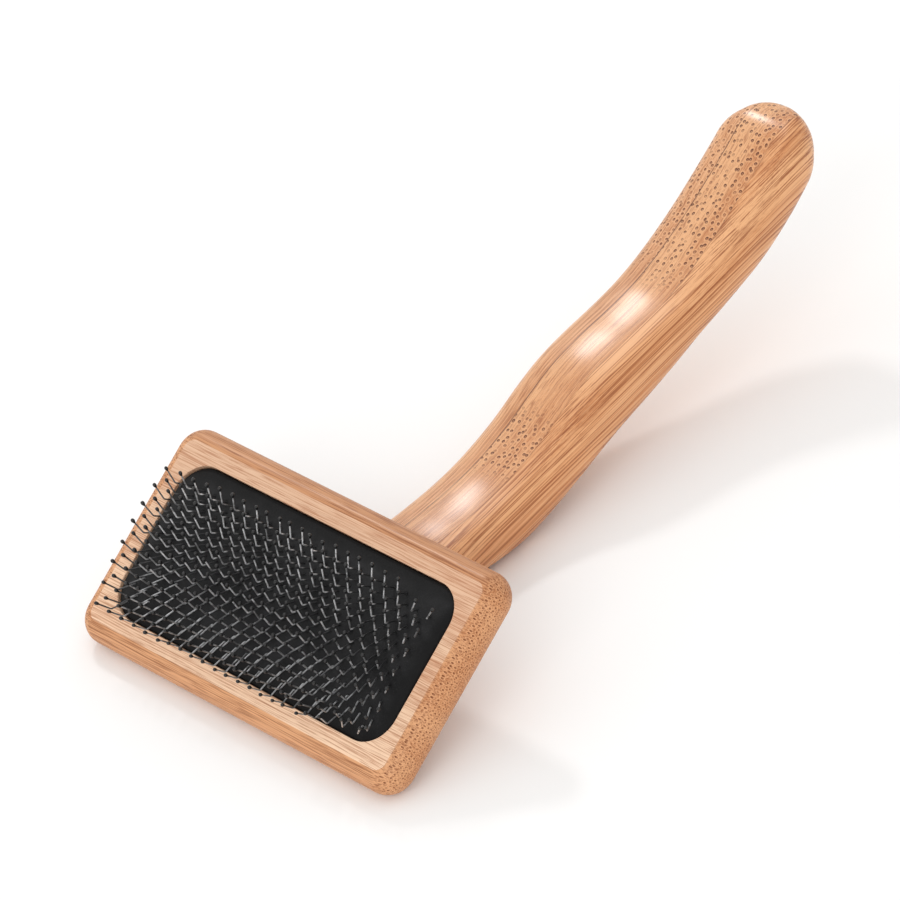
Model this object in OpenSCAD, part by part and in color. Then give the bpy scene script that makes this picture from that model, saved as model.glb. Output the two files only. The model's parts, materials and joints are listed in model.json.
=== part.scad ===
// Slicker brush: a bamboo head with a crowned pin cushion on a raked, laminated bamboo handle.
// The parts are laid out in the head's own axes: X along the head, Y towards the handle,
// Z out of the face, with the face at Z = 0. in_rest_pose() then leans the whole brush
// back on to the floor, on the head's lower edge and the heel of the handle.

/* [Head] */
// Length of the head
head_l = 115; // [110:1:125]
// Width of the head, along the handle's direction
head_w = 58.7; // [58:0.5:64]
// Thickness of the head, fully rounded round its edge
head_t = 9.8; // [9.6:0.1:11]
// Corner radius of the head in plan
head_corner_r = 7; // [6:0.5:9]
// Depth that the front face is sanded flat, which sharpens its edge
face_sanding = 0.06; // [0.04:0.01:0.2]

/* [Pocket and cushion] */
// Length of the pocket in the head
pocket_l = 98.5; // [97:0.5:100]
// Width of the pocket in the head
pocket_w = 42.2; // [41:0.2:44]
// Corner radius of the pocket
pocket_corner_r = 8.6; // [8:0.2:10]
// Depth of the pocket floor below the face
pocket_depth = 6.9; // [6.8:0.1:7.2]
// Gap between the cushion and the pocket wall
cushion_gap = 0.25; // [0.2:0.05:0.3]
// Depth of the pad's flat edge below the face
pad_edge_depth = 1; // [0.8:0.1:1.2]
// Thickness of the rubber pad
pad_t = 1.2; // [1:0.1:1.3]
// Height of the pad's crown above the face
pad_crown = 1.8; // [1.4:0.1:2]
// Thickness of the backing cloth
cloth_t = 0.4; // [0.3:0.1:0.5]
// How far the cushion can be pressed in
press_travel = 1.2; // [0.8:0.1:1.2]

/* [Pins] */
// Number of rows of staples
pin_rows = 15; // [9:2:15]
// Distance between rows
row_pitch = 2.3; // [2.3:0.1:2.5]
// Staples in each full row
staples_per_row = 11; // [7:1:11]
// Distance between staples along a row
staple_pitch = 8.1; // [7.8:0.1:8.2]
// Distance between the two pins of a staple
staple_w = 4.3; // [4:0.1:4.4]
// Diameter of the wire
wire_d = 0.38; // [0.34:0.02:0.42]
// Length of the wire from the pad to the knee
lower_leg = 4.4; // [4:0.2:4.8]
// Length of the wire from the knee to its end
upper_leg = 4.2; // [4:0.2:4.6]
// Lean of the lower leg away from the handle, in degrees
lower_lean = 40; // [36:1:42]
// Lean of the upper leg back towards the handle, in degrees
upper_lean = 18; // [14:1:20]
// Extra lean of the outermost rows, which fan out over the crown
row_fan = 28; // [20:1:30]
// Extra lean of the pins at the two ends of the head
end_fan = 24; // [10:1:26]
// Diameter of the ball tips
tip_d = 0.95; // [0.9:0.05:1.1]

/* [Handle] */
// Width of the handle
handle_w = 28.6; // [27:0.2:30]
// Thickness of the handle's middle ply
core_ply_t = 12; // [11:0.5:14]
// Edge radius on the front of the handle
handle_front_r = 4.5; // [3.5:0.5:5]
// Edge radius on the back of the handle
handle_back_r = 5.5; // [4.5:0.5:6]

/* [Fixings] */
// Shank diameter of the two screws
screw_d = 3.5; // [3:0.1:4]
// Distance between the two screws
screw_spacing = 19.6; // [19:0.2:20.4]
// Length of the screws under the head
screw_l = 12; // [10:1:12]

/* [Hidden] */
$fn = 48;
bamboo = "BurlyWood";
bamboo_dark = "Peru";
bullnose_r = head_t / 2;
face_z = 0;
back_z = face_sanding - head_t;
head_corner_in = head_corner_r - bullnose_r;

// Cushion: a flat edge with a field that is crowned across its width
cushion_l = pocket_l - 2 * cushion_gap;
cushion_w = pocket_w - 2 * cushion_gap;
cushion_r = pocket_corner_r - cushion_gap;
crown_inset = 1.4;
crown_l = cushion_l - 2 * crown_inset;
crown_w = cushion_w - 2 * crown_inset;
crown_r = cushion_r - crown_inset;
crown_drop = 2;
crown_radius = (pow(crown_w / 2, 2) + pow(crown_drop, 2)) / (2 * crown_drop);
pad_under_z = -pad_edge_depth - pad_t;
foam_under_z = -pocket_depth + press_travel + 0.1;
cloth_gap = 0.02;
foam_gap = 0.9;

// Pins
wire_r = wire_d / 2;
pin_hole_r = wire_r + 0.17;
crown_wire_depth = 0.2;
leg_rise = 0.15;
corner_fatness = 1.45;
knee_fatness = 1.25;
row_shift_y = -1.2;
row_stagger = staple_pitch / 4;
field_half_w = (pin_rows - 1) / 2 * row_pitch;
pin_half_l = (staples_per_row - 1) / 2 * staple_pitch + staple_w / 2 + row_stagger / 2;
tip_neck_r = wire_r + 0.1;
tip_neck_l = 0.75;

// Handle: front and back outlines as pairs of [y, z] points, from the foot to the end
front_line = [
    [8, back_z], [16.5, -18.9], [27, -28.1], [37, -34.2], [46, -39], [55, -42.7], [66, -45.7],
    [77, -47.3], [86, -49.3], [95, -52.8], [104, -57], [113, -60.6], [123, -63],
    [135, -64.5], [147, -65.2], [156, -65.5]
];
back_line = [
    [-20, back_z], [-7, -19], [11, -32], [30, -45.2], [41.5, -52.7], [51.5, -56.6],
    [62.5, -59.6], [74.5, -62.6], [82, -64.8], [90, -67.3], [99, -69.8], [109, -72.3],
    [121, -75.9], [134, -79.2], [146.5, -80.3], [156, -80]
];
handle_end_tip = [170.1, -71.1];
end_taper = 0.96;
end_dome = 1.46;
steps_per_span = 3;
end_steps = 9;
handle_crown = 1.8;
edge_steps = 5;
half_w = handle_w / 2;
core_half = core_ply_t / 2;
ply_glue = 0.02;

// Screws
screw_y = 0;
screw_head_d = 6.6;
screw_head_h = 2.4;
pilot_extra = 0.02;

// Rest pose: the brush lies back on the head's lower edge and on the handle's heel
rest_tilt = 32.63;
edge_center = [-head_w / 2 + bullnose_r, back_z + bullnose_r];
rest_height = -(edge_center[0] * sin(rest_tilt) + edge_center[1] * cos(rest_tilt)) + bullnose_r;
rest_shift_y = -79.65;

function pad2(i) = str(i < 10 ? "0" : "", i);
STAPLE_NODES = [for (i = [1:pin_rows]) str("staples_row_", pad2(i))];
TIP_NODES = [for (i = [1:pin_rows]) str("tips_row_", pad2(i))];

// ---- general helpers ----

module in_rest_pose() {
    translate([0, rest_shift_y, rest_height])
        rotate([rest_tilt, 0, 0])
            children();
}

module rounded_rect(l, w, r) {
    square([l, w - 2 * r], center = true);
    square([l - 2 * r, w], center = true);
    for (sx = [-1, 1], sy = [-1, 1])
        translate([sx * (l / 2 - r), sy * (w / 2 - r)])
            circle(r);
}

module plate(l, w, r, z_low, z_high) {
    translate([0, 0, z_low])
        linear_extrude(z_high - z_low)
            rounded_rect(l, w, r);
}

// ---- head ----

module edge_profile() {
    intersection() {
        circle(bullnose_r);
        translate([0, -bullnose_r])
            square([bullnose_r, 2 * bullnose_r - face_sanding]);
    }
}

module head_edge(length) {
    rotate([90, 0, 0])
        linear_extrude(length, center = true)
            edge_profile();
}

module head_corner() {
    rotate_extrude(angle = 90) {
        translate([head_corner_in, 0])
            edge_profile();
        translate([0, -bullnose_r])
            square([head_corner_in, head_t - face_sanding]);
    }
}

module head_blank() {
    straight_l = head_l - 2 * head_corner_r;
    straight_w = head_w - 2 * head_corner_r;
    translate([0, 0, back_z + bullnose_r]) {
        for (side = [0, 180])
            rotate(side) {
                translate([head_l / 2 - bullnose_r, 0, 0])
                    head_edge(straight_w);
                translate([0, head_w / 2 - bullnose_r, 0])
                    rotate(90)
                        head_edge(straight_l);
                translate([straight_l / 2, straight_w / 2, 0])
                    head_corner();
                translate([-straight_l / 2, straight_w / 2, 0])
                    rotate(90)
                        head_corner();
            }
    }
    translate([0, 0, (back_z + face_z) / 2]) {
        cube([straight_l, head_w - head_t, head_t - face_sanding], center = true);
        cube([head_l - head_t, straight_w, head_t - face_sanding], center = true);
    }
}

module screw_places() {
    for (side = [-1, 1])
        translate([side * screw_spacing / 2, screw_y, -pocket_depth])
            children();
}

module head_block() {
    color(bamboo)
        in_rest_pose()
            difference() {
                head_blank();
                plate(pocket_l, pocket_w, pocket_corner_r, -pocket_depth, 1);
                screw_places()
                    screw_void();
            }
}

// ---- handle ----

// Catmull-Rom curve through a list of points, at span i and fraction t
function curve_point(p, i, t) =
    let (a = p[max(i - 1, 0)], b = p[i], c = p[i + 1], d = p[min(i + 2, len(p) - 1)])
    0.5 * ((2 * b) + (c - a) * t + (2 * a - 5 * b + 4 * c - d) * t * t
        + (3 * b - a - 3 * c + d) * t * t * t);
function curve(p, steps) = [
    for (i = [0:len(p) - 2], k = [0:steps - 1]) curve_point(p, i, k / steps)
];

// Stations along the handle, each [front point, back point, half width]
function body_stations() =
    let (f = curve(front_line, steps_per_span), b = curve(back_line, steps_per_span))
    [for (i = [0:len(f) - 1]) [f[i], b[i], half_w]];
function end_station(q) =
    let (
        f = front_line[len(front_line) - 1],
        b = back_line[len(back_line) - 1],
        mid = (f + b) / 2,
        shrink = sqrt(1 - q * q),
        deep = pow(shrink, end_dome),
        place = mid + (handle_end_tip - mid) * q
    )
    [place + (f - b) / 2 * deep, place - (f - b) / 2 * deep, half_w * pow(shrink, end_taper)];
function end_stations(q_last) = [
    for (k = [0:end_steps]) end_station(q_last * sin(90 * k / end_steps))
];

// How far the front (or back) surface has fallen away at x, for a half width w
function edge_fall(x, w, r) =
    let (rr = min(r, w * 0.7), over = max(0, x - (w - rr)))
    rr - sqrt(max(0, rr * rr - over * over));
// The back is flat across the middle ply, so that the brush lies on it steadily
function handle_fall(x, depth, at_back) =
    let (flat = at_back ? core_half : 0)
    handle_crown * pow(max(0, x - flat) / (half_w - flat), 2) * depth / 20;
function section_point(st, x, at_back) =
    let (
        depth = norm(st[0] - st[1]),
        inward = (st[1] - st[0]) / depth,
        limit = depth * 0.45,
        fall = edge_fall(abs(x), st[2], min(at_back ? handle_back_r : handle_front_r, limit))
            + handle_fall(abs(x), depth, at_back),
        p = at_back ? st[1] - inward * fall : st[0] + inward * fall
    )
    [x, p[0], p[1]];
// x positions across a ply, from x0 to x1, closer together over the rounded edge
function ply_samples(x0, x1) = [
    for (k = [0:edge_steps]) x0 + (x1 - x0) * sin(90 * k / edge_steps)
];
function ply_section(st, x0, x1) =
    let (xs = ply_samples(x0, x1), n = len(xs))
    concat(
        [for (k = [0:n - 1]) section_point(st, xs[k], false)],
        [for (k = [n - 1:-1:0]) section_point(st, xs[k], true)]);

// A closed skin over equal rings of points
module skin(rings, flip = false) {
    n = len(rings[0]);
    m = len(rings);
    points = [for (ring = rings, p = ring) p];
    sides = [
        for (i = [0:m - 2], k = [0:n - 1])
            let (a = i * n + k, b = i * n + (k + 1) % n)
            each [[a, a + n, b], [b, a + n, b + n]]
    ];
    first_cap = [for (k = [1:n - 2]) [0, k, k + 1]];
    last_cap = [for (k = [1:n - 2]) [(m - 1) * n, (m - 1) * n + k + 1, (m - 1) * n + k]];
    faces = concat(sides, first_cap, last_cap);
    polyhedron(points, flip ? [for (f = faces) [f[2], f[1], f[0]]] : faces, convexity = 6);
}

module handle_side(side) {
    inner = core_half + ply_glue;
    q_last = 0.995 * sqrt(1 - pow(inner / half_w, 2 / end_taper));
    stations = concat(body_stations(), end_stations(q_last));
    rings = [for (st = stations) ply_section(st, side * inner, side * max(st[2], inner + 0.02))];
    skin(rings, side < 0);
}

module handle_middle() {
    stations = concat(body_stations(), end_stations(0.985));
    rings = [
        for (st = stations)
            let (w = min(core_half, st[2]), half = ply_section(st, 0, w), n = edge_steps + 1)
            concat(
                [for (k = [n - 1:-1:1]) mirrored(half[k])],
                [for (k = [0:2 * n - 1]) half[k]],
                [for (k = [2 * n - 2:-1:n]) mirrored(half[k])])
    ];
    skin(rings);
}
function mirrored(p) = [-p[0], p[1], p[2]];

module handle_core() {
    color(bamboo)
        in_rest_pose()
            handle_middle();
}

module handle_side_left() {
    color(bamboo_dark)
        in_rest_pose()
            difference() {
                handle_side(-1);
                screw_places()
                    screw_void();
            }
}

module handle_side_right() {
    color(bamboo_dark)
        in_rest_pose()
            difference() {
                handle_side(1);
                screw_places()
                    screw_void();
            }
}

// ---- screws ----

module screw_shape(extra) {
    rotate_extrude()
        polygon([
            [0, 0], [screw_head_d / 2 + extra, 0], [screw_head_d / 2 + extra, -0.4],
            [screw_d / 2 + extra, -screw_head_h], [screw_d / 2 + extra, -screw_l + 3 - extra],
            [0.4, -screw_l - extra], [0, -screw_l - extra]
        ]);
}

module screw_void() {
    screw_shape(pilot_extra);
    cylinder(h = 1, r = screw_head_d / 2 + pilot_extra);
}

module screw() {
    slot_w = 0.9;
    slot_depth = 1.1;
    difference() {
        screw_shape(0);
        for (turn = [0, 90])
            rotate(turn)
                cube([screw_head_d * 0.62, slot_w, 2 * slot_depth], center = true);
    }
}

module mounting_screws() {
    color("Silver")
        in_rest_pose()
            screw_places()
                screw();
}

// ---- cushion ----

// Everything under a crown whose top stands at z_top over the middle of the head
module under_crown(z_top, radius, l) {
    translate([0, 0, z_top - radius])
        rotate([0, 90, 0])
            cylinder(h = l, r = radius, center = true, $fn = 96);
}

module crowned(inset, fall) {
    intersection() {
        plate(crown_l - 2 * inset, crown_w - 2 * inset, crown_r - inset,
            -pocket_depth, pad_crown + 1);
        under_crown(pad_crown - fall, crown_radius - fall, crown_l + 2);
    }
}

module pin_holes(z_low, z_high) {
    translate([0, 0, z_low])
        linear_extrude(z_high - z_low)
            for (row = [1:pin_rows], x = pin_xs(row))
                translate([x, row_y(row)])
                    circle(pin_hole_r, $fn = 16);
}

module rubber_pad() {
    color([0.1, 0.1, 0.1])
        in_rest_pose()
            difference() {
                union() {
                    plate(cushion_l, cushion_w, cushion_r, pad_under_z, -pad_edge_depth);
                    intersection() {
                        crowned(0, 0);
                        plate(head_l, head_w, 1, pad_under_z, pad_crown + 1);
                    }
                }
                crowned(pad_t, pad_t);
                pin_holes(-pocket_depth, pad_crown + 1);
            }
}

module backing_cloth() {
    color([0.85, 0.83, 0.78])
        in_rest_pose()
            difference() {
                crowned(pad_t + 0.1, pad_t + cloth_gap);
                crowned(-1, pad_t + cloth_gap + cloth_t);
                pin_holes(-pocket_depth - 1, pad_crown + 1);
            }
}

module foam_pad() {
    color([0.95, 0.9, 0.6])
        in_rest_pose()
            intersection() {
                crowned(pad_t + 0.1, pad_t + cloth_gap + cloth_t + foam_gap);
                plate(head_l, head_w, 1, foam_under_z, pad_crown + 1);
            }
}

// ---- pins ----

function row_y(row) = row_shift_y + (row - (pin_rows + 1) / 2) * row_pitch;
function crown_fall(y) = crown_radius - sqrt(pow(crown_radius, 2) - y * y);
function row_z(row) = pad_crown - crown_fall(row_y(row));
function row_side(row) = row % 2 == 0 ? 0.5 : -0.5;
function row_staples(row) = row == pin_rows ? staples_per_row - 1 : staples_per_row;
function staple_x(row, i) =
    (i - (staples_per_row - 1) / 2) * staple_pitch + row_side(row) * row_stagger;
function pin_xs(row) = [
    for (i = [0:row_staples(row) - 1], side = [-1, 1]) staple_x(row, i) + side * staple_w / 2
];
function row_lean(row) =
    row_fan * (row - (pin_rows + 1) / 2) / ((pin_rows - 1) / 2) - 2;
function end_lean(x) = end_fan * sign(x) * pow(abs(x) / pin_half_l, 3);
// Unit vector that leans from Z by one angle towards +Y and by another towards +X
function lean(to_y, to_x) = [sin(to_x), cos(to_x) * sin(to_y), cos(to_x) * cos(to_y)];
function lower_way(row, x) = lean(row_lean(row) - lower_lean, end_lean(x));
function upper_way(row, x) = lean(row_lean(row) + upper_lean, end_lean(x));
function unit(v) = v / norm(v);

module wire(p, way, length) {
    n = unit(abs(way[2]) > 0.9 ? cross([1, 0, 0], way) : cross([0, 0, 1], way));
    m = cross(way, n);
    multmatrix([
        [n[0], m[0], way[0], p[0]], [n[1], m[1], way[1], p[1]],
        [n[2], m[2], way[2], p[2]], [0, 0, 0, 1]
    ])
        cylinder(h = length, r = wire_r, $fn = 16);
}

// A bend in the wire, drawn as a bead a little fatter than the wire, turned so that its poles
// and seam are clear of the wires
module bend(p, fatness, turn) {
    translate(p)
        rotate(turn)
            sphere(wire_r * fatness, $fn = 16);
}

// The pin at x: where it leaves the pad, its knee and its end
function leg_start(row, x) = [x, row_y(row), row_z(row) + leg_rise];
function knee(row, x) = leg_start(row, x) + lower_way(row, x) * lower_leg;
function pin_end(row, x) = knee(row, x) + upper_way(row, x) * upper_leg;

module pin(row, x, z_low) {
    corner = [x, row_y(row), z_low];
    bend(corner, corner_fatness, [90, 90, 0]);
    wire(corner, [0, 0, 1], leg_start(row, x)[2] - z_low);
    bend(leg_start(row, x), knee_fatness, [90, 0, 90]);
    wire(leg_start(row, x), lower_way(row, x), lower_leg);
    bend(knee(row, x), knee_fatness, [90, 0, -90]);
    wire(knee(row, x), upper_way(row, x), upper_leg);
}

module staple(row, x_mid) {
    z_low = row_z(row) - pad_t - cloth_t - cloth_gap - crown_wire_depth - wire_r;
    wire([x_mid - staple_w / 2, row_y(row), z_low], [1, 0, 0], staple_w);
    for (side = [-1, 1])
        pin(row, x_mid + side * staple_w / 2, z_low);
}

module staples_row(row) {
    color([0.75, 0.76, 0.78])
        in_rest_pose()
            for (i = [0:row_staples(row) - 1])
                staple(row, staple_x(row, i));
}

// A ball with a short neck, bored for the wire, with its bore along -Z from the origin
module tip_shape() {
    ball_r = tip_d / 2;
    rotate_extrude($fn = 24)
        difference() {
            union() {
                intersection() {
                    circle(ball_r);
                    translate([0, -ball_r])
                        square([ball_r, tip_d]);
                }
                polygon([
                    [0, 0], [ball_r * 0.87, -ball_r * 0.45], [tip_neck_r, -tip_neck_l], [0, -tip_neck_l]
                ]);
            }
            translate([-1, -2])
                square([1 + wire_r, 2]);
        }
}

module tips_row(row) {
    color([0.06, 0.06, 0.06])
        in_rest_pose()
            for (x = pin_xs(row)) {
                way = upper_way(row, x);
                p = pin_end(row, x);
                n = unit(cross([1, 0, 0], way));
                m = cross(way, n);
                multmatrix([
                    [n[0], m[0], way[0], p[0]], [n[1], m[1], way[1], p[1]],
                    [n[2], m[2], way[2], p[2]], [0, 0, 0, 1]
                ])
                    tip_shape();
            }
}

head_block();
handle_core();
handle_side_left();
handle_side_right();
mounting_screws();
foam_pad();
backing_cloth();
rubber_pad();
for (row = [1:pin_rows]) {
    staples_row(row);
    tips_row(row);
}
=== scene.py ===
"""Slicker brush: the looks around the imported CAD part, with the camera, light and floor."""

import json
import math
import random

import bmesh
import bpy
import numpy as np
from mathutils import Matrix, Vector


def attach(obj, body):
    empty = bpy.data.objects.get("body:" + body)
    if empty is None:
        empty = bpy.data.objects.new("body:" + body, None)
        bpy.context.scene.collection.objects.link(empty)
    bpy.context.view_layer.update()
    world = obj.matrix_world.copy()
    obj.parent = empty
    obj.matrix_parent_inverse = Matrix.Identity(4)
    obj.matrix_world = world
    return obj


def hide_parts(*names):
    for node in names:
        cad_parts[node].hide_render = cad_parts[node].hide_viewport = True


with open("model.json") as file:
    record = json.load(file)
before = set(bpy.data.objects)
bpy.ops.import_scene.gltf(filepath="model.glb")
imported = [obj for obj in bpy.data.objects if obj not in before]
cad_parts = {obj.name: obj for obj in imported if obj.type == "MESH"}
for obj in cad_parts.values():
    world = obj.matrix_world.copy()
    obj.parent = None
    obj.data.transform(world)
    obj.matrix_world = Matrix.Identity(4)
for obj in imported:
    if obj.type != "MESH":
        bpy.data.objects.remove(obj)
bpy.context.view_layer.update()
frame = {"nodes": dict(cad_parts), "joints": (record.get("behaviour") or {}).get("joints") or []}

# ---- the head's own axes: X along the head, Y towards the handle, Z out of the face ----

JOINTS = {j["name"]: j for j in frame["joints"]}
OUT = -Vector(JOINTS["cushion_press"]["axis"]).normalized()
ALONG = Vector((1, 0, 0))
TOWARDS = OUT.cross(ALONG)
HEAD_ORIGIN = Vector(JOINTS["cushion_press"]["pos_m"])
AXES = np.array([ALONG, TOWARDS, OUT])


def to_row(points_mm):
    """Points in the head's axes, in mm, as points in the row frame, in metres."""
    return np.asarray(points_mm, float) @ AXES * 0.001 + np.array(HEAD_ORIGIN)


def way(x, y, z):
    """A direction in the head's axes as a unit vector in the row frame."""
    return Vector(np.array((x, y, z), float) @ AXES).normalized()


# ---- sizes, as in the CAD source, in mm and degrees ----

HEAD_L, HEAD_W, HEAD_T = 115.0, 58.7, 9.8
HEAD_CORNER_R = 7.0
SANDING = 0.06
BULLNOSE_R = HEAD_T / 2
BACK_Z = SANDING - HEAD_T
POCKET_L, POCKET_W, POCKET_R, POCKET_DEPTH = 98.5, 42.2, 8.6, 6.9
CUSHION_GAP = 0.25
PAD_EDGE_Z = -1.0
PAD_T = 1.2
PAD_CROWN = 1.8
CROWN_W = POCKET_W - 2 * CUSHION_GAP - 2.8
CROWN_DROP = 2.0
CROWN_RADIUS = ((CROWN_W / 2) ** 2 + CROWN_DROP ** 2) / (2 * CROWN_DROP)
PIN_ROWS, ROW_PITCH, ROW_SHIFT = 15, 2.3, -1.2
STAPLES, STAPLE_PITCH, STAPLE_W = 11, 8.1, 4.3
WIRE_R = 0.19
LEG_RISE, LOWER_LEG, UPPER_LEG = 0.15, 4.4, 4.2
LOWER_LEAN, UPPER_LEAN, ROW_FAN = 40.0, 18.0, 28.0
LEFT_FAN, RIGHT_FAN = 31.0, 33.0
ROW_STAGGER = STAPLE_PITCH / 4
PIN_HALF_L = (STAPLES - 1) / 2 * STAPLE_PITCH + STAPLE_W / 2 + ROW_STAGGER / 2
HANDLE_HALF_W = 14.3
CORE_HALF = 6.0
FRONT_R, BACK_R, HANDLE_CROWN, END_TAPER, END_DOME = 4.5, 5.5, 1.8, 0.96, 1.46
FRONT_LINE = np.array([
    [8, BACK_Z], [16.5, -18.9], [27, -28.1], [37, -34.2], [46, -39], [55, -42.7], [66, -45.7],
    [77, -47.3], [86, -49.3], [95, -52.8], [104, -57], [113, -60.6], [123, -63],
    [135, -64.5], [147, -65.2], [156, -65.5]])
BACK_LINE = np.array([
    [-20, BACK_Z], [-7, -19], [11, -32], [30, -45.2], [41.5, -52.7], [51.5, -56.6],
    [62.5, -59.6], [74.5, -62.6], [82, -64.8], [90, -67.3], [99, -69.8], [109, -72.3],
    [121, -75.9], [134, -79.2], [146.5, -80.3], [156, -80]])
HANDLE_TIP = np.array([170.1, -71.1])

rng = random.Random(11)

# ---- materials ----


def rgb(r, g, b):
    """A display colour, 0 to 255, as a linear one."""
    def linear(v):
        v /= 255
        return v / 12.92 if v <= 0.04045 else ((v + 0.055) / 1.055) ** 2.4
    return (linear(r), linear(g), linear(b), 1.0)


class Shader:
    """A material's node tree, with short ways to add nodes."""

    def __init__(self, name):
        self.material = bpy.data.materials.new(name)
        self.material.use_nodes = True
        self.tree = self.material.node_tree
        self.tree.nodes.clear()
        self.coords = self.add("ShaderNodeTexCoord").outputs["Object"]
        self.millimetres = self.vector("SCALE", self.coords, scale=1000)

    def measure(self, direction):
        """Distance along a direction in the row frame, in mm."""
        return self.vector("DOT_PRODUCT", self.millimetres, tuple(direction))

    def from_head(self, direction):
        """Distance along a direction from the middle of the head's face, in mm."""
        away = self.vector("SUBTRACT", self.millimetres, tuple(HEAD_ORIGIN * 1000))
        return self.vector("DOT_PRODUCT", away, tuple(direction))

    def put(self, socket, value):
        if isinstance(value, bpy.types.NodeSocket):
            self.tree.links.new(value, socket)
        elif value is not None:
            socket.default_value = value

    def add(self, kind, props=None, **inputs):
        node = self.tree.nodes.new(kind)
        for name, value in (props or {}).items():
            setattr(node, name, value)
        for name, value in inputs.items():
            self.put(node.inputs[name.replace("_", " ")], value)
        return node

    def math(self, operation, a, b=None, c=None, clamp=False):
        node = self.add("ShaderNodeMath", {"operation": operation, "use_clamp": clamp})
        for socket, value in zip(node.inputs, (a, b, c)):
            self.put(socket, value)
        return node.outputs[0]

    def vector(self, operation, a, b=None, scale=None):
        node = self.add("ShaderNodeVectorMath", {"operation": operation})
        self.put(node.inputs[0], a)
        self.put(node.inputs[1], b)
        if scale is not None:
            self.put(node.inputs["Scale"], scale)
        return node.outputs["Value" if operation in ("DOT_PRODUCT", "LENGTH") else "Vector"]

    def combine(self, x, y, z):
        return self.add("ShaderNodeCombineXYZ", X=x, Y=y, Z=z).outputs[0]

    def noise(self, vector, scale=1.0, detail=2.0, roughness=0.5, colour=False):
        node = self.add("ShaderNodeTexNoise", Vector=vector, Scale=scale, Detail=detail,
                        Roughness=roughness)
        return node.outputs["Color" if colour else "Fac"]

    def ramp(self, value, low, high, to_low=0.0, to_high=1.0):
        node = self.add("ShaderNodeMapRange", {"interpolation_type": "SMOOTHSTEP"}, Value=value)
        for name, number in (("From Min", low), ("From Max", high), ("To Min", to_low),
                             ("To Max", to_high)):
            node.inputs[name].default_value = number
        return node.outputs["Result"]

    def mix(self, factor, a, b, blend="MIX"):
        node = self.add("ShaderNodeMix", {"data_type": "RGBA", "blend_type": blend})
        for index, value in ((0, factor), (6, a), (7, b)):
            self.put(node.inputs[index], value)
        return node.outputs[2]

    def along_front(self, reached):
        """Height of the handle's front at a distance along it, in mm in the head's axes."""
        reach, drop = 160.0, 70.0  # the curve's own 0 to 1, in mm
        node = self.add("ShaderNodeFloatCurve", Value=self.math("DIVIDE", reached, reach))
        curve = node.mapping.curves[0]
        for y, z in FRONT_LINE[1:-1]:
            curve.points.new(y / reach, (z + drop) / drop)
        curve.points[0].location = (FRONT_LINE[0][0] / reach, (BACK_Z + drop) / drop)
        curve.points[-1].location = (1, (FRONT_LINE[-1][1] + drop) / drop)
        node.mapping.update()
        return self.math("MULTIPLY_ADD", node.outputs[0], drop, -drop)

    def bump(self, height, strength, depth_mm):
        return self.add("ShaderNodeBump", Height=height, Strength=strength,
                        Distance=depth_mm / 1000).outputs["Normal"]

    def finish(self, base, roughness, normal=None, **settings):
        surface = self.add("ShaderNodeBsdfPrincipled", Base_Color=base, Roughness=roughness,
                           Normal=normal, **settings)
        output = self.add("ShaderNodeOutputMaterial")
        self.tree.links.new(surface.outputs[0], output.inputs["Surface"])
        return self.material


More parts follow.
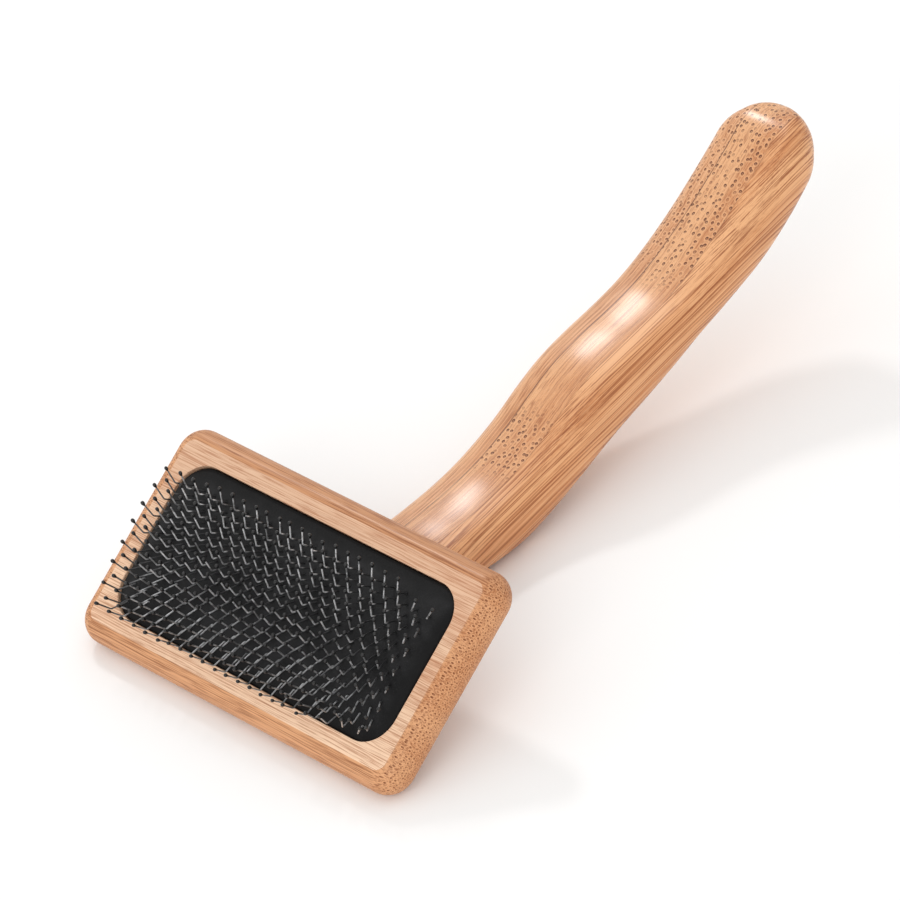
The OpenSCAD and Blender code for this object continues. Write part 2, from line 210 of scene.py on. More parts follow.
def bamboo(name, grain, across, tone, gloss, coat=0.0, dots=0.0, streaks=1.0, spacing=1.25,
           seed=0.0, dense_above=None, seams=(), bump=1.0, pores=None, dotted=(), bent=False,
           layers=1.0, pitch=1.0, shade=None, dashed=1.0):
    """Bamboo as a solid: fibre bundles run along the grain, so a long face shows lines and a cut
    across the grain shows dots. pores is the way the bundles behind the dots run, if it is not the
    grain. dense_above is for the head: its dots are at its ends, and fade between those two
    heights. dotted lists the stretches along the handle that show dots, as (start, full, fading,
    end). bent fibres follow the handle. Below 1, layers draws the fibres out into sheets that face
    across. pitch is the fineness of the lines and dashed the strength of short marks between them.
    seams are dark glue lines, as (x, depth). shade is (from, to, amount): painted shade, a darkening
    towards the handle. seed sets one piece's fibres apart from the next's. Lengths are in mm."""
    s = Shader(name)
    reached = s.from_head(TOWARDS)
    deep = s.measure(grain.cross(across))
    if bent:
        # Three quarters of the front's own bend, and a slight slope
        line = s.math("MULTIPLY_ADD", s.along_front(reached), 0.75, s.math("MULTIPLY", reached, -0.106))
        deep = s.math("SUBTRACT", s.from_head(OUT), line)
    u = s.measure(grain)
    v = s.math("ADD", s.measure(across), seed * 31.7)
    w = s.math("ADD", deep, seed * 17.3)

    # The fibres wander a little along the grain
    drift = s.noise(s.combine(s.math("MULTIPLY", u, 0.015), s.math("MULTIPLY", v, 0.08),
                              s.math("MULTIPLY", w, 0.08)), detail=2.0, colour=True)
    shift = s.add("ShaderNodeSeparateXYZ", Vector=s.vector("SUBTRACT", drift, (0.5, 0.5, 0.5)))
    vv = s.math("MULTIPLY_ADD", shift.outputs[0], 1.6, v)
    ww = s.math("MULTIPLY_ADD", shift.outputs[1], 1.6, w)

    def fibres(along, side, detail, roughness):
        place = s.combine(s.math("MULTIPLY", u, along), s.math("MULTIPLY", vv, side),
                          s.math("MULTIPLY", ww, side * layers))
        return s.noise(place, detail=detail, roughness=roughness)

    coarse = fibres(0.006, 0.9 * pitch, 3.0, 0.65)
    fine = fibres(0.012, 2.3 * pitch, 2.0, 0.6)
    broad = fibres(0.004, 0.13, 2.0, 0.5)
    dashes = s.noise(s.combine(s.math("MULTIPLY", u, 0.1), s.math("MULTIPLY", vv, 3.2),
                               s.math("MULTIPLY", ww, 3.2)), detail=1.0)

    base, dark, light, spot = tone
    colour = s.mix(s.ramp(broad, 0.35, 0.68), light, base)
    for lines, low, high, amount, towards in (
            (coarse, 0.48, 0.38, 0.6 * streaks, light), (coarse, 0.52, 0.63, 0.6 * streaks, dark),
            (fine, 0.47, 0.39, 0.65 * streaks, light), (fine, 0.52, 0.62, 0.8 * streaks, dark),
            (dashes, 0.54, 0.66, 0.5 * dashed, light), (dashes, 0.46, 0.34, 0.55 * dashed, dark)):
        amount = s.math("MULTIPLY", s.ramp(lines, low, high), amount, clamp=True)
        colour = s.mix(amount, colour, towards)
    # Painted shade: darker towards the handle
    if shade is not None:
        colour = s.mix(s.ramp(reached, shade[0], shade[1], 0.0, shade[2]), colour, dark)
    height = s.math("ADD", s.math("MULTIPLY", fine, 0.9), s.math("MULTIPLY", coarse, 0.6))
    height = s.math("MULTIPLY_ADD", dashes, 1.1 * dashed, height)
    rough = s.math("MULTIPLY_ADD", fine, 0.3, gloss - 0.15)

    if dots:
        # Bundles cut across: a dark ring with a paler heart, and a paler surround
        run = pores or grain
        flat = run.cross(ALONG if abs(run.x) < 0.5 else TOWARDS).normalized()
        a, b = s.measure(flat), s.measure(run.cross(flat))
        sway = s.vector("SCALE", s.noise(s.millimetres, scale=0.12, colour=True),
                        scale=1.6 if dense_above is None else 0.5)
        place = s.vector("SCALE", s.vector("ADD", s.combine(a, b, 0.0), sway), scale=1 / spacing)
        cell = s.add("ShaderNodeTexVoronoi", {"voronoi_dimensions": "2D", "feature": "F1"},
                     Vector=place, Scale=1.0, Randomness=0.8 if dense_above is None else 0.55)
        reach = cell.outputs["Distance"]
        chance = s.add("ShaderNodeSeparateXYZ", Vector=cell.outputs["Color"])
        ring = s.math("MULTIPLY", s.ramp(reach, 0.03, 0.14, 0.3, 1.0),
                      s.ramp(reach, 0.17, 0.25, 1.0, 0.0))
        ring = s.math("MULTIPLY", ring, s.ramp(chance.outputs[0], 0.0, 0.55, 0.35, 1.0))
        # Darker on one side, so that a ring reads as a crescent
        lit = s.vector("DOT_PRODUCT", s.vector("SUBTRACT", place, cell.outputs["Position"]),
                       (0.85, 0.5, 0.0))
        ring = s.math("MULTIPLY", ring, s.ramp(lit, -0.14, 0.05, 0.5, 1.0))
        halo = s.math("MULTIPLY", s.ramp(reach, 0.24, 0.3), s.ramp(reach, 0.34, 0.5, 1.0, 0.0))
        speck = s.noise(s.combine(a, b, 0.0), scale=4.5, detail=2.0, roughness=0.6)
        if dense_above is not None:
            end, up = s.math("ABSOLUTE", s.from_head(ALONG)), s.from_head(OUT)
            fade = s.math("MULTIPLY", s.ramp(end, HEAD_L / 2 - 5.0, HEAD_L / 2 - 3.4),
                          s.ramp(up, *dense_above, 0.45, 1.0))
            speck = s.math("MULTIPLY", speck, 0.5)
            ring, halo = s.math("MULTIPLY", ring, fade), s.math("MULTIPLY", halo, fade)
        if dotted:
            fade = 0.05
            for start, full, fading, end in dotted:
                fade = s.math("MAXIMUM", fade, s.math("MULTIPLY", s.ramp(reached, start, full),
                                                      s.ramp(reached, fading, end, 1.0, 0.0)))
            ring, halo = s.math("MULTIPLY", ring, fade), s.math("MULTIPLY", halo, fade)
        colour = s.mix(s.math("MULTIPLY", s.ramp(speck, 0.52, 0.7), 0.35 * dots), colour, dark)
        colour = s.mix(s.math("MULTIPLY", halo, 0.6 * dots), colour, light)
        colour = s.mix(s.math("MULTIPLY", ring, 1.15 * dots, clamp=True), colour, spot)
        height = s.math("ADD", height, s.math("MULTIPLY", ring, -0.6 * dots))
        height = s.math("MULTIPLY_ADD", speck, 1.1 * dots, height)
        rough = s.math("MULTIPLY_ADD", ring, 0.3, rough)

    if dense_above is not None:
        # Painted highlight: a paler line where the sanded face meets the rounded edge
        line = s.math("MULTIPLY", s.ramp(up, -0.1, -0.02, 0.0, 0.6),
                      s.ramp(end, HEAD_L / 2 - 4.5, HEAD_L / 2 - 2.5))
        colour = s.mix(line, colour, SANDED[2])

    sideways = s.from_head(ALONG)
    patchy = s.ramp(s.noise(s.millimetres, scale=0.09, detail=3.0), 0.35, 0.6, 0.4, 1.0)
    for place, depth in seams:
        near = s.math("ABSOLUTE", s.math("SUBTRACT", sideways, place))
        line = s.math("MULTIPLY", s.ramp(near, 0.05, 0.21, depth, 0.0), patchy)
        colour = s.mix(line, colour, rgb(92, 52, 30))
    return s.finish(colour, rough, s.bump(height, 0.6 * bump, 0.09), Coat_Weight=coat,
                    Coat_Roughness=0.2, Specular_IOR_Level=0.35)


def rubber():
    s = Shader("pad_rubber")
    cloud = s.noise(s.millimetres, scale=0.16, detail=3.0)
    grit = s.noise(s.millimetres, scale=3.2, detail=3.0, roughness=0.6)
    base = s.mix(s.ramp(cloud, 0.3, 0.7), rgb(17, 17, 18), rgb(34, 34, 35))
    base = s.mix(s.math("MULTIPLY", s.ramp(grit, 0.5, 0.72), 0.5), base, rgb(58, 58, 60))
    # Painted shade: the rubber's rim, which turns down into the pocket, is painted darker
    across = s.math("ABSOLUTE", s.from_head(TOWARDS))
    along = s.math("ABSOLUTE", s.from_head(ALONG))
    border = s.math("MAXIMUM", s.ramp(across, 15.5, 19.0), s.ramp(along, 44.5, 48.0))
    base = s.mix(s.math("MULTIPLY", border, 0.75), base, rgb(7, 7, 8))
    return s.finish(base, s.ramp(grit, 0.3, 0.7, 0.62, 0.8), s.bump(grit, 0.6, 0.12),
                    Specular_IOR_Level=0.2)


def wire():
    """Painted reflections on the steel: bright above the knee. The lower leg, which sees only the
    rubber, is painted dark as its reflection of the black rubber, and the front rows and the left
    end are painted a little darker too."""
    s = Shader("pin_wire")
    drawn = s.noise(s.millimetres, scale=1.7, detail=2.0)
    reached = s.from_head(TOWARDS)
    # Above the crowned rubber
    height = s.math("MULTIPLY_ADD", s.math("MULTIPLY", reached, reached), 0.5 / CROWN_RADIUS,
                    s.math("SUBTRACT", s.from_head(OUT), PAD_CROWN))
    # Painted reflection: the lower leg is painted nearly black, for the black rubber it reflects
    painted_dark_reflection = s.math("MULTIPLY", s.ramp(height, 2.6, 3.6, 1.0, 0.0), s.ramp(reached, -12.0, -5.0))
    base = s.mix(s.ramp(drawn, 0.3, 0.7), rgb(214, 215, 217), rgb(248, 248, 250))
    # Painted shade: the front rows are painted darker
    base = s.mix(s.ramp(reached, -6.0, -11.0, 0.0, 0.5), base, rgb(120, 121, 123))
    # Painted shade: the wires at the left end are painted darker
    left = s.ramp(s.from_head(ALONG), -38.0, -44.0)
    base = s.mix(s.math("MULTIPLY", left, 0.85), base, rgb(30, 30, 31))
    base = s.mix(s.math("MULTIPLY", painted_dark_reflection, 0.93), base, rgb(34, 34, 36))
    # Painted reflections: random patches painted darker, for glints that come and go from pin to pin
    painted_glint_patches = s.noise(s.millimetres, scale=0.4, detail=2.0)
    base = s.mix(s.ramp(painted_glint_patches, 0.46, 0.6, 0.0, 0.7), base, rgb(44, 44, 46))
    return s.finish(base, s.ramp(drawn, 0.3, 0.7, 0.3, 0.45), Metallic=0.6)


def dipped():
    s = Shader("tip_resin")
    lumps = s.noise(s.millimetres, scale=2.2, detail=1.0)
    base = s.mix(s.ramp(lumps, 0.3, 0.7), rgb(14, 14, 15), rgb(30, 30, 31))
    return s.finish(base, 0.28, s.bump(lumps, 0.35, 0.1), Specular_IOR_Level=0.5)


def zinc():
    s = Shader("screw_zinc")
    spangle = s.noise(s.millimetres, scale=1.4, detail=3.0)
    base = s.mix(spangle, rgb(150, 150, 146), rgb(196, 197, 194))
    return s.finish(base, s.ramp(spangle, 0.3, 0.7, 0.3, 0.48), Metallic=1.0)


def cloth():
    s = Shader("backing_weave")
    pitch = 0.8  # between threads, in mm
    warp, weft = (s.math("SINE", s.math("MULTIPLY", s.measure(way_across), 2 * math.pi / pitch))
                  for way_across in (ALONG, TOWARDS))
    weave = s.math("MULTIPLY", warp, weft)
    base = s.mix(s.ramp(weave, -0.8, 0.8), rgb(172, 166, 150), rgb(208, 203, 190))
    return s.finish(base, 0.85, s.bump(weave, 0.5, 0.1))


def foam():
    s = Shader("cushion_foam")
    cells = s.add("ShaderNodeTexVoronoi", Vector=s.millimetres, Scale=1.1).outputs["Distance"]
    base = s.mix(s.ramp(cells, 0.1, 0.7), rgb(214, 196, 142), rgb(240, 228, 186))
    return s.finish(base, 0.92, s.bump(cells, 0.8, 0.3))


WARM = (rgb(202, 133, 82), rgb(150, 84, 42), rgb(232, 174, 124), rgb(96, 46, 20))
WARM_HEAD = (rgb(190, 124, 77), rgb(140, 82, 44), rgb(220, 162, 116), rgb(110, 54, 20))
WARM_CORE = (rgb(202, 133, 82), rgb(152, 86, 44), rgb(232, 174, 124), rgb(84, 36, 10))
WARM_PALE = (rgb(206, 141, 93), rgb(158, 95, 53), rgb(234, 180, 134), rgb(88, 38, 12))
SANDED = (rgb(224, 176, 142), rgb(172, 112, 76), rgb(244, 208, 176), rgb(150, 96, 62))

HEAD_GRAIN, HEAD_ACROSS = way(1, 0, 0), way(0, 1, 0)
HANDLE_GRAIN = way(0, 0.92, -0.39)
HANDLE_PORES = way(0, 0.45, 0.89)
RIGHT_SHEETS = way(0.657, -0.259, -0.611)  # the way the right ply's sheets of fibres face

MATERIALS = {
    "head": bamboo("bamboo_head", HEAD_GRAIN, HEAD_ACROSS, WARM_HEAD, 0.55, coat=0.1, dots=1.0,
                   spacing=0.95, dense_above=(-7.0, -1.5), seed=1.0, pitch=1.9, streaks=0.9,
                   # painted shade on the top side, towards the handle
                   shade=(23, 26.5, 0.3)),
    "land": bamboo("bamboo_land", HEAD_GRAIN, HEAD_ACROSS, SANDED, 0.62, seed=1.0, streaks=0.75,
                   # painted shade, darker across the face towards the handle
                   pitch=2.6, shade=(-24, 26, 0.3)),
    "core": bamboo("bamboo_core", HANDLE_GRAIN, way(1, 0, 0), WARM_CORE, 0.36, coat=0.42, bump=1.7,
                   dots=1.0, spacing=1.9, seed=2.0, streaks=0.5, pores=HANDLE_PORES, bent=True,
                   layers=0.3, dotted=((50, 58, 66, 76), (110, 122, 200, 210)),
                   seams=((-CORE_HALF, 1.0), (CORE_HALF, 0.4))),
    "left": bamboo("bamboo_left", HANDLE_GRAIN, way(1, 0, 0), WARM_PALE, 0.4, coat=0.3, bump=1.3,
                   dots=0.9, spacing=1.7, seed=3.0, streaks=0.7, pores=HANDLE_PORES, bent=True,
                   layers=0.3, dotted=((112, 126, 200, 210),), seams=((-CORE_HALF, 1.0),)),
    "right": bamboo("bamboo_right", HANDLE_GRAIN, RIGHT_SHEETS, WARM, 0.42, coat=0.25, bump=1.3,
                    seed=4.0, streaks=1.1, layers=0.1, pitch=1.3, dashed=0.35,
                    seams=((CORE_HALF, 0.4),)),
    "rubber": rubber(), "wire": wire(), "tip": dipped(), "zinc": zinc(), "cloth": cloth(),
    "foam": foam(),
}

# ---- mesh tools ----


def piece(name, body, slot, points_mm, faces, materials, face_materials=None, nodes=(), sharp=38):
    """A mesh made in the head's axes, in mm, that rides on a CAD body and stands for CAD nodes."""
    mesh = bpy.data.meshes.new(name)
    mesh.from_pydata(to_row(points_mm).tolist(), [], [list(map(int, f)) for f in faces])
    for key in materials:
        mesh.materials.append(MATERIALS[key])
    if face_materials is not None:
        mesh.polygons.foreach_set("material_index", np.asarray(face_materials, np.int32))
    shape = bmesh.new()
    shape.from_mesh(mesh)
    bmesh.ops.recalc_face_normals(shape, faces=shape.faces)
    shape.to_mesh(mesh)
    shape.free()
    mesh.polygons.foreach_set("use_smooth", [True] * len(mesh.polygons))
    if sharp:
        mesh.set_sharp_from_angle(angle=math.radians(sharp))
    obj = bpy.data.objects.new(name, mesh)
    bpy.context.scene.collection.objects.link(obj)
    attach(obj, body)
    if nodes:
        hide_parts(*nodes)
    return obj


def ring_faces(rings, count):
    """Quads between successive rings of count points each."""
    faces = []
    for i in range(rings - 1):
        for k in range(count):
            a, b = i * count + k, i * count + (k + 1) % count
            faces.append((a, b, b + count, a + count))
    return faces


def capped_faces(rings, sides):
    """The faces of a closed tube of rings, with an end cap on each end."""
    last = (rings - 1) * sides
    return ring_faces(rings, sides) + [list(range(sides))[::-1], list(range(last, last + sides))]


def rounded_loop(length, width, r, z, straight=26, corner=14):
    """Points anticlockwise round a rounded rectangle, the same number for any size."""
    points = []
    for turn, sx, sy in ((0, 1, 1), (90, -1, 1), (180, -1, -1), (270, 1, -1)):
        cx, cy = sx * (length / 2 - r), sy * (width / 2 - r)
        for k in range(corner + 1):
            a = math.radians(turn + 90 * k / corner)
            points.append((cx + r * math.cos(a), cy + r * math.sin(a), z))
        nx, ny = ((-sx if turn % 180 == 0 else sx), (sy if turn % 180 == 0 else -sy))
        a = math.radians(turn + 90)
        end = (nx * (length / 2 - r) + r * math.cos(a), ny * (width / 2 - r) + r * math.sin(a))
        start = points[-1]
        for k in range(1, straight):
            f = k / straight
            points.append((start[0] + (end[0] - start[0]) * f, start[1] + (end[1] - start[1]) * f, z))
    return points


# ---- head ----


def build_head():
    land, edge = 0, 1  # materials: the sanded face with the pocket, and the rounded edge with the back
    loops, kinds = [], []

    def pocket(grow, z):
        loops.append(rounded_loop(POCKET_L + 2 * grow, POCKET_W + 2 * grow, POCKET_R + grow, z))
        kinds.append(land)

    def outer(inset, z, kind=edge):
        r = max(HEAD_CORNER_R - inset, 0.6)
        loops.append(rounded_loop(HEAD_L - 2 * inset, HEAD_W - 2 * inset, r, z))
        kinds.append(kind)

    lip = 0.22  # radius of the pocket's rim
    pocket(0, -POCKET_DEPTH)
    for z in (-4.0, -2.0, -1.0, -lip - 0.1):
        pocket(0, z)
    for k in range(5):
        a = math.radians(90 * k / 4)
        pocket(lip * (1 - math.cos(a)), lip * (math.sin(a) - 1))
    pocket(lip + 0.3, 0)
    centre_z = BACK_Z + BULLNOSE_R
    top = math.degrees(math.asin((BULLNOSE_R - SANDING) / BULLNOSE_R))
    rim = BULLNOSE_R * (1 - math.cos(math.radians(top)))
    first = np.array(loops[-1])
    last = np.array(rounded_loop(HEAD_L - 2 * (rim + 0.12), HEAD_W - 2 * (rim + 0.12),
                                 HEAD_CORNER_R - rim - 0.12, 0))
    for f in (0.25, 0.5, 0.75):
        loops.append((first + (last - first) * f).tolist())
        kinds.append(land)
    outer(rim + 0.12, 0, land)
    outer(rim + 0.03, -0.004)
    for k in range(31):
        a = math.radians(top - 1.2 - (top - 1.2 + 90) * (k / 30) ** 0.9)
        outer(BULLNOSE_R * (1 - math.cos(a)), centre_z + BULLNOSE_R * math.sin(a))
    for inset in (6.0, 10.0, 16.0, 24.0):
        outer(inset, BACK_Z)
    count = len(loops[0])
    points = [p for loop in loops for p in loop]
    kinds_by_face = [kind for kind in kinds[:-1] for _ in range(count)] + [land, edge]
    piece("head_bamboo", "handle_and_head", "bamboo", points, capped_faces(len(loops), count),
          ["land", "head"], kinds_by_face, ["head_block"], sharp=30)


# ---- handle ----


def spline(line, steps):
    """Catmull-Rom curve through the points, as in the CAD source."""
    out = []
    for i in range(len(line) - 1):
        a, b = line[max(i - 1, 0)], line[i]
        c, d = line[i + 1], line[min(i + 2, len(line) - 1)]
        for k in range(steps):
            t = k / steps
            out.append(0.5 * (2 * b + (c - a) * t + (2 * a - 5 * b + 4 * c - d) * t * t
                              + (3 * b - a - 3 * c + d) * t ** 3))
    return out


def handle_stations(q_last, steps=8, end_steps=30):
    stations = [(f, b, HANDLE_HALF_W)
                for f, b in zip(spline(FRONT_LINE, steps), spline(BACK_LINE, steps))]
    f, b = FRONT_LINE[-1], BACK_LINE[-1]
    middle = (f + b) / 2
    for k in range(end_steps + 1):
        q = q_last * math.sin(math.pi / 2 * k / end_steps)
        shrink = math.sqrt(1 - q * q)
        place = middle + (HANDLE_TIP - middle) * q
        half = (f - b) / 2 * shrink ** END_DOME
        stations.append((place + half, place - half, HANDLE_HALF_W * shrink ** END_TAPER))
    return stations


def section_point(station, x, at_back):
    front, back, half_w = station
    depth = float(np.linalg.norm(front - back))
    inward = (back - front) / depth
    r = min(min(BACK_R if at_back else FRONT_R, depth * 0.45), half_w * 0.7)
    over = max(0.0, abs(x) - (half_w - r))
    fall = r - math.sqrt(max(0.0, r * r - over * over))
    flat = CORE_HALF if at_back else 0.0
    fall += HANDLE_CROWN * (max(0.0, abs(x) - flat) / (HANDLE_HALF_W - flat)) ** 2 * depth / 20
    p = back - inward * fall if at_back else front + inward * fall
    return (x, p[0], p[1])


def ply(name, node, side, material):
    """side is 0 for the middle ply, or -1 or 1."""
    if side:
        q_last = 0.9995 * math.sqrt(1 - (CORE_HALF / HANDLE_HALF_W) ** (2 / END_TAPER))
    else:
        q_last = 0.9995
    rings = []
    for station in handle_stations(q_last):
        if side:
            x0, x1 = CORE_HALF, max(station[2], CORE_HALF + 0.02)
            spread = [side * (x0 + (x1 - x0) * math.sin(math.pi / 2 * k / 14)) for k in range(15)]
        else:
            w = min(CORE_HALF, station[2])
            spread = [w * math.sin(math.pi / 2 * k / 8) for k in range(-8, 9)]
        ring = [section_point(station, x, False) for x in spread]
        ring += [section_point(station, x, True) for x in reversed(spread)]
        rings.append(ring)
    points = [p for ring in rings for p in ring]
    piece(name, "handle_and_head", "bamboo", points, capped_faces(len(rings), len(rings[0])),
          [material], nodes=[node], sharp=50)


# ---- cushion ----


def row_y(row):
    return ROW_SHIFT + (row - (PIN_ROWS + 1) / 2) * ROW_PITCH


def crown_z(y):
    """Height of the crowned rubber, without its rounded border."""
    return PAD_CROWN - (CROWN_RADIUS - np.sqrt(CROWN_RADIUS ** 2 - y * y))


def pin_places(row):
    """(x of the staple's middle, side) of each pin in a row."""
    shift = (0.5 if row % 2 == 0 else -0.5) * ROW_STAGGER
    staples = STAPLES - 1 if row == PIN_ROWS else STAPLES
    return [((i - (STAPLES - 1) / 2) * STAPLE_PITCH + shift, side)
            for i in range(staples) for side in (-1, 1)]


def build_pad():
    length, width = POCKET_L - 2 * CUSHION_GAP, POCKET_W - 2 * CUSHION_GAP
    r = POCKET_R - CUSHION_GAP
    nx, ny = 360, 156  # points along and across
    edge_round = 6.5  # width of the pillow's rounded border
    ys = np.linspace(-width / 2, width / 2, ny)
    past = np.clip(np.abs(ys) - (width / 2 - r), 0, r)
    reach = length / 2 - (r - np.sqrt(r * r - past * past))
    s = np.linspace(-1, 1, nx)
    X, Y = s[None, :] * reach[:, None], np.repeat(ys[:, None], nx, 1)
    qx = np.abs(X) - (length / 2 - r)
    qy = np.abs(Y) - (width / 2 - r)
    outside = np.hypot(np.maximum(qx, 0), np.maximum(qy, 0)) + np.minimum(np.maximum(qx, qy), 0) - r
    inset = np.clip(-outside, 0, None)
    rise = np.sqrt(1 - (1 - np.clip(inset / edge_round, 0, 1)) ** 2)
    Z = PAD_EDGE_Z + (crown_z(Y) - PAD_EDGE_Z) * rise
    # Each pin draws the rubber down into a dimple, with a slight ring round it
    for row in range(1, PIN_ROWS + 1):
        for middle, side in pin_places(row):
            far = np.hypot(X - middle - side * STAPLE_W / 2, Y - row_y(row))
            Z -= 0.2 * np.exp(-(far / 0.5) ** 2) - 0.05 * np.exp(-((far - 1.0) / 0.35) ** 2)
    points = np.stack([X, Y, Z], -1).reshape(-1, 3)
    faces = [(j * nx + i, j * nx + i + 1, (j + 1) * nx + i + 1, (j + 1) * nx + i)
             for j in range(ny - 1) for i in range(nx - 1)]
    edge = ([i for i in range(nx)] + [j * nx + nx - 1 for j in range(1, ny)]
            + [(ny - 1) * nx + i for i in range(nx - 2, -1, -1)]
            + [j * nx for j in range(ny - 2, 0, -1)])
    skirt = points[edge] - np.array([0, 0, PAD_T])
    base = len(points)
    points = np.vstack([points, skirt])
    n = len(edge)
    for k in range(n):
        m = (k + 1) % n
        faces.append((edge[m], edge[k], base + k, base + m))
    faces.append([base + k for k in range(n)][::-1])
    pad = piece("rubber_cushion", "cushion", "rubber", points, faces, ["rubber"],
                nodes=["rubber_pad"], sharp=60)


# ---- pins ----


def lean(to_y, to_x):
    a, b = math.radians(to_y), math.radians(to_x)
    return np.array([math.sin(b), math.cos(b) * math.sin(a), math.cos(b) * math.cos(a)])


def rounded_path(corners, radii, steps=5):
    """A polyline with its inner corners rounded."""
    path = [corners[0]]
    for before, corner, after, r in zip(corners, corners[1:], corners[2:], radii):
        a = (corner - before) / np.linalg.norm(corner - before)
        b = (after - corner) / np.linalg.norm(after - corner)
        turn = math.acos(float(np.clip(a @ b, -1, 1)))
        back = min(r * math.tan(turn / 2), 0.4 * np.linalg.norm(corner - before),
                   0.4 * np.linalg.norm(after - corner))
        p, q = corner - a * back, corner + b * back
        for k in range(steps + 1):
            f = k / steps
            path.append((1 - f) ** 2 * p + 2 * f * (1 - f) * corner + f * f * q)
    path.append(corners[-1])
    return np.array(path)


def tube(path, r, sides=8):
    """(points, faces) of a closed tube along a path."""
    points = []
    way_in = path[1] - path[0]
    side = np.cross(way_in, (1.0, 0.0, 0.0))
    for i, p in enumerate(path):
        along = path[min(i + 1, len(path) - 1)] - path[max(i - 1, 0)]
        along /= np.linalg.norm(along)
        side = side - along * (side @ along)
        side /= np.linalg.norm(side)
        other = np.cross(along, side)
        for k in range(sides):
            a = 2 * math.pi * k / sides
            points.append(p + r * (math.cos(a) * side + math.sin(a) * other))
    return points, capped_faces(len(path), sides)


# (height, radius) up the ball tip, from its neck
TIP_PROFILE = ((-0.85, 0.2), (-0.7, 0.27), (-0.5, 0.37), (-0.25, 0.46), (0.0, 0.48), (0.2, 0.43),
               (0.35, 0.32), (0.45, 0.17))


def tip(p, along, size, sides=12):
    side = np.cross(along, (1.0, 0.0, 0.0))
    side /= np.linalg.norm(side)
    other = np.cross(along, side)
    points = []
    for height, r in TIP_PROFILE:
        for k in range(sides):
            a = 2 * math.pi * k / sides
            outward = math.cos(a) * side + math.sin(a) * other
            points.append(p + along * height * size + r * size * outward)
    return points, capped_faces(len(TIP_PROFILE), sides)


def collect(parts):
    points, faces = [], []
    for p, f in parts:
        base = len(points)
        points.extend(p)
        faces.extend([[i + base for i in face] for face in f])
    return points, faces


def build_pins():
    """Each row's wires as one piece and its ball tips as another. The two pins of a staple sway
    together, more so in the worn right-hand end of the front rows. The fan eases off at the right
    end of the front rows and at the left end of the back ones."""
    for row in range(1, PIN_ROWS + 1):
        wires, tips = [], []
        fan = ROW_FAN * (row - (PIN_ROWS + 1) / 2) / ((PIN_ROWS - 1) / 2) - 2
        sway = (0.0, 0.0)
        for middle, side in pin_places(row):
            if side < 0:
                worn = 3.5 if row < 5 and middle > 24 else 1.0
                sway = (rng.gauss(0, 1.6) * worn, rng.gauss(0, 1.8) * worn)
                if row == 1:  # clear of the rim when the cushion is pressed
                    sway = (abs(sway[0]), sway[1])
            x = middle + side * STAPLE_W / 2
            twist = rng.gauss(0, 1.0)
            out = abs(x) / PIN_HALF_L
            sideways = (RIGHT_FAN if x > 0 else -LEFT_FAN) * out ** 3 + sway[1] + twist
            if fan < 0:
                ease = 0.6 * min(1.0, max(0.0, (x - 26) / 12)) ** 2
            else:
                ease = 0.45 * out ** 4 if x < 0 else 0.0
            ahead = fan * (1 - ease) + sway[0]
            lower = lean(ahead - LOWER_LEAN, sideways)
            upper = lean(ahead + UPPER_LEAN + rng.gauss(0, 1.2), sideways + rng.gauss(0, 1.5))
            start = np.array([x, row_y(row), crown_z(row_y(row)) + LEG_RISE])
            knee = start + lower * LOWER_LEG
            end = knee + upper * UPPER_LEG * rng.uniform(0.97, 1.02)
            foot = start - np.array([0, 0, 1.6])
            wires.append(tube(rounded_path([foot, start, knee, end], (0.5, 0.65)), WIRE_R))
            tips.append(tip(end, upper, rng.uniform(0.92, 1.06)))
        name = f"{row:02d}"
        piece("pins_row_" + name, "row_" + name, "wire", *collect(wires), ["wire"],
              nodes=["staples_row_" + name], sharp=60)
        piece("pin_tips_row_" + name, "row_" + name, "tip_resin", *collect(tips), ["tip"],
              nodes=["tips_row_" + name], sharp=0)


build_head()
ply("handle_middle_ply", "handle_core", 0, "core")
ply("handle_left_ply", "handle_side_left", -1, "left")
ply("handle_right_ply", "handle_side_right", 1, "right")
build_pad()
build_pins()

for node, key in (("mounting_screws", "zinc"), ("foam_pad", "foam"), ("backing_cloth", "cloth")):
    data = frame["nodes"][node].data
    data.materials.clear()
    data.materials.append(MATERIALS[key])

# ---- floor, light and camera ----


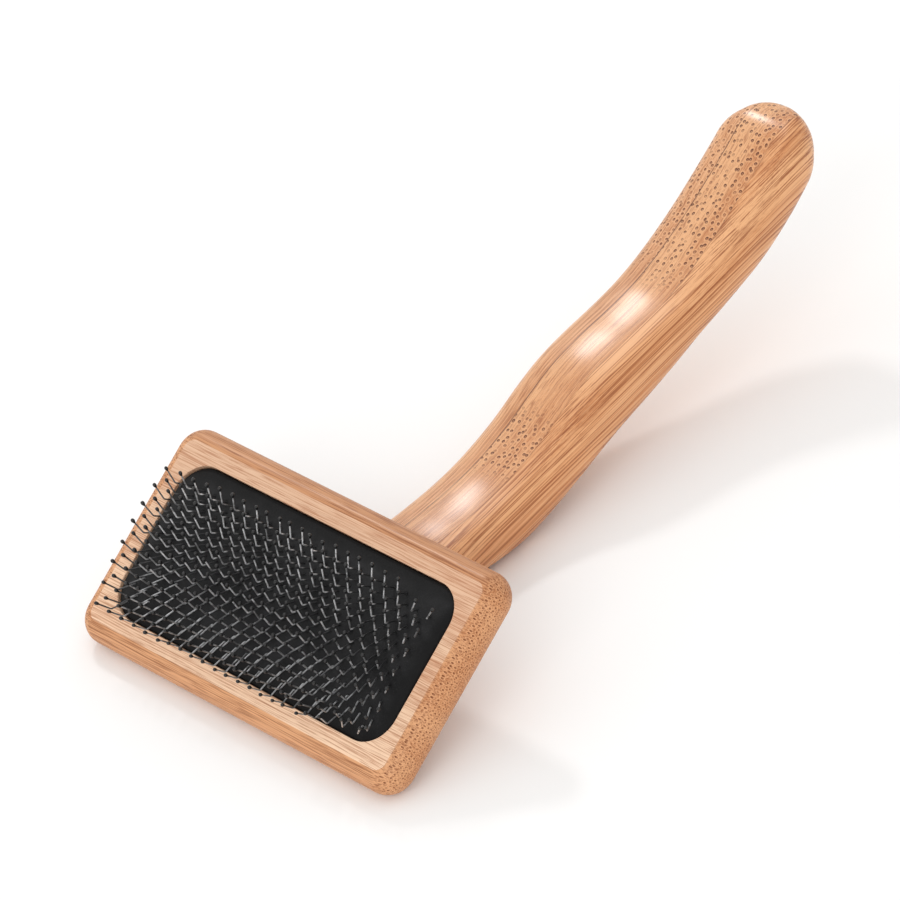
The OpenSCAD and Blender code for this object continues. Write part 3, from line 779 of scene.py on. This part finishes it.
def floor_material():
    s = Shader("studio_floor")
    tone = s.noise(s.coords, scale=1.5, detail=2.0)
    return s.finish(s.mix(tone, (0.93, 0.93, 0.93, 1), (0.96, 0.96, 0.96, 1)), 0.8)


bpy.ops.mesh.primitive_plane_add(size=8, location=(0, 0, -0.0003))
floor = bpy.context.object
floor.name = "studio_floor"
floor.data.materials.append(floor_material())

world = bpy.context.scene.world or bpy.data.worlds.new("studio")
bpy.context.scene.world = world
world.use_nodes = True
background = next(n for n in world.node_tree.nodes if n.type == "BACKGROUND")
background.inputs["Color"].default_value = (1.0, 0.995, 0.985, 1)
background.inputs["Strength"].default_value = 0.9


def area_light(name, direction, distance, size, power, target=(0, 0.01, 0.03)):
    data = bpy.data.lights.new(name, "AREA")
    data.shape = "DISK"
    data.size = size
    data.energy = power
    light = bpy.data.objects.new(name, data)
    bpy.context.scene.collection.objects.link(light)
    direction = Vector(direction).normalized()
    light.location = Vector(target) + direction * distance
    light.rotation_euler = direction.to_track_quat("Z", "Y").to_euler()


area_light("key", (-0.66, 0.3, 0.69), 1.1, 0.15, 2.2)
area_light("front_fill", (0.55, -0.95, 0.7), 1.4, 0.9, 4)

# The photograph's camera: its lens and sensor in mm, its turn in degrees from looking straight
# down, and the middle of the head's face as it sees it, right, up and back, in metres
LENS, SENSOR = 279.84, 36.0
AZIMUTH, TILT, ROLL = 55.128, 53.98, -14.266
HEAD_SEEN_AT = Vector((-0.03978, -0.03597, -1.66386))

camera_data = bpy.data.cameras.new("camera")
camera_data.sensor_width = SENSOR
camera_data.lens = LENS
camera_data.clip_start = 0.05
camera = bpy.data.objects.new("camera", camera_data)
bpy.context.scene.collection.objects.link(camera)
turned = (Matrix.Rotation(math.radians(AZIMUTH), 4, "Z") @ Matrix.Rotation(math.radians(TILT), 4, "X")
          @ Matrix.Rotation(math.radians(ROLL), 4, "Z"))
camera.matrix_world = Matrix.Translation(HEAD_ORIGIN - turned @ HEAD_SEEN_AT) @ turned
bpy.context.scene.camera = camera
bpy.context.scene.view_settings.view_transform = "Standard"
